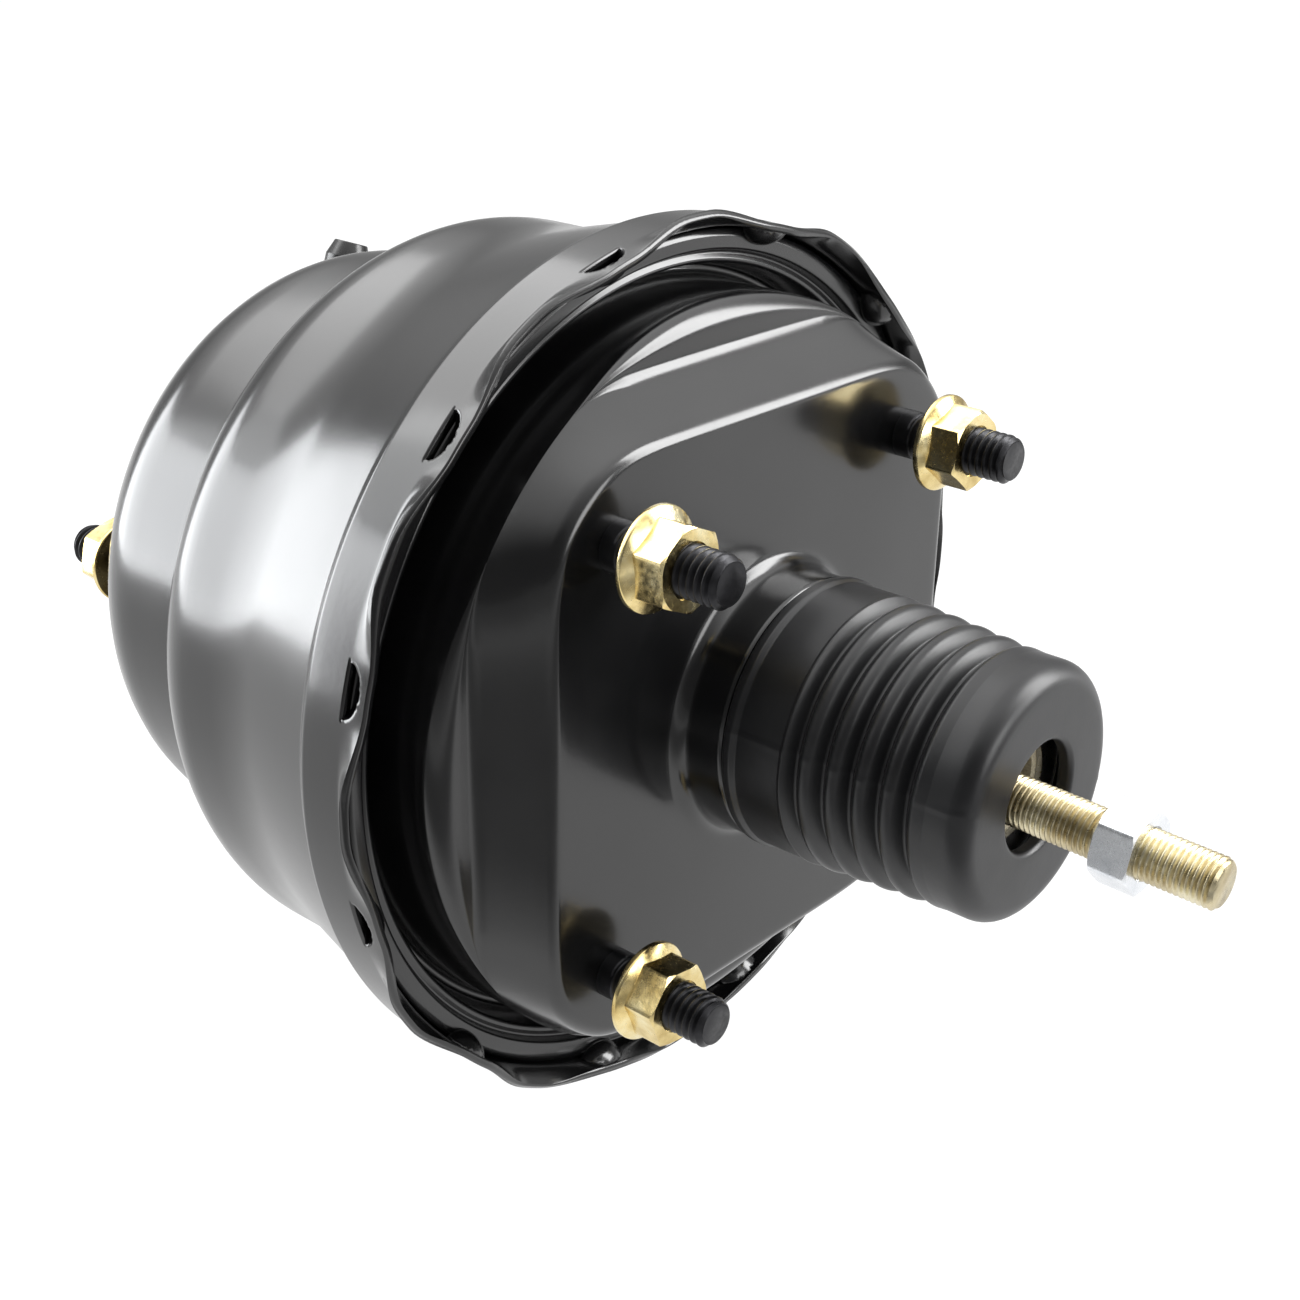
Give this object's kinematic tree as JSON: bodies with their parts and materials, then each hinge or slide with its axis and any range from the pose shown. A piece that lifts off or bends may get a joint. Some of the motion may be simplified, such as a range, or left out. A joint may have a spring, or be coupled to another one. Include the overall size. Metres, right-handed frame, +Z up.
{
  "type": "brake booster",
  "caption": "Tandem vacuum brake booster with gloss-black twist-lock shells, stamped rear dome with firewall studs, concertina dust boot, threaded pushrod and vacuum check valve.",
  "frame": {"origin": "centre of the rear shell face that bolts to the firewall, on the booster axis", "axes": "+Y along the booster axis towards the master cylinder, +Z up, the pedal pushrod comes out on -Y"},
  "size_m": [0.1806, 0.2591, 0.1806],
  "materials": {
    "black_paint": "gloss",
    "yellow_zinc": "satin",
    "black_steel": "satin",
    "bright_zinc": "satin",
    "bare_steel": "satin",
    "boot_rubber": "matte",
    "seal_rubber": "matte",
    "hub_plastic": "matte",
    "valve_plastic": "gloss",
    "aluminium": "satin",
    "felt": "matte"
  },
  "bodies": {
    "housing": {"rear_shell": "black_paint", "front_shell": "black_paint", "rear_brace_plate": "bare_steel", "front_brace_ring": "bare_steel", "firewall_studs": "black_steel", "master_cylinder_studs": "black_steel", "firewall_nuts": "yellow_zinc", "master_cylinder_nuts": "yellow_zinc", "rear_hub_seal": "seal_rubber", "center_divider": "bare_steel", "divider_seal": "seal_rubber", "front_rod_seal": "seal_rubber", "return_spring": "bare_steel", "dust_boot": "boot_rubber", "check_valve_grommet": "seal_rubber", "check_valve_body": "valve_plastic", "check_valve_spring": "bare_steel"},
    "power_piston": {"piston_hub": "hub_plastic", "rear_support_plate": "aluminium", "front_support_plate": "aluminium", "rear_diaphragm": "seal_rubber", "front_diaphragm": "seal_rubber", "rear_plate_retainer": "bare_steel", "front_plate_retainer": "bare_steel", "reaction_disc": "seal_rubber", "output_rod": "yellow_zinc", "output_rod_retainer": "bare_steel", "output_rod_tip": "bare_steel", "plunger_key": "bare_steel", "control_valve": "seal_rubber", "control_valve_spring": "bare_steel", "control_valve_retainer": "bare_steel", "air_silencer": "felt", "silencer_retainer": "bare_steel", "valve_return_spring": "bare_steel"},
    "air_valve": {"valve_plunger": "aluminium"},
    "pedal_rod": {"pushrod": "yellow_zinc", "jam_nut": "bright_zinc", "spring_seat": "bare_steel"},
    "check_poppet": {"check_valve_poppet": "seal_rubber"}
  },
  "joints": [
    {"name": "power_piston_slide", "type": "slide", "parent": "housing", "child": "power_piston", "axis": [0, 1, 0], "range_m": [0, 0.03], "stiffness_N_per_m": 1500, "springref_m": -0.01, "deforming": ["dust_boot", "return_spring", "rear_diaphragm", "front_diaphragm"]},
    {"name": "valve_plunger_slide", "type": "slide", "parent": "power_piston", "child": "air_valve", "axis": [0, 1, 0], "range_m": [0, 0.0025], "stiffness_N_per_m": 600, "springref_m": -0.002, "deforming": ["valve_return_spring", "control_valve"]},
    {"name": "pushrod_tilt", "type": "hinge", "parent": "air_valve", "child": "pedal_rod", "pos_m": [0, 0.015, 0], "axis": [-1, 0, 0], "range_deg": [0, 4]},
    {"name": "check_valve_poppet_slide", "type": "slide", "parent": "housing", "child": "check_poppet", "axis": [0, 1, 0], "range_m": [0, 0.0015], "stiffness_N_per_m": 60, "springref_m": -0.001, "deforming": ["check_valve_spring"]}
  ]
}
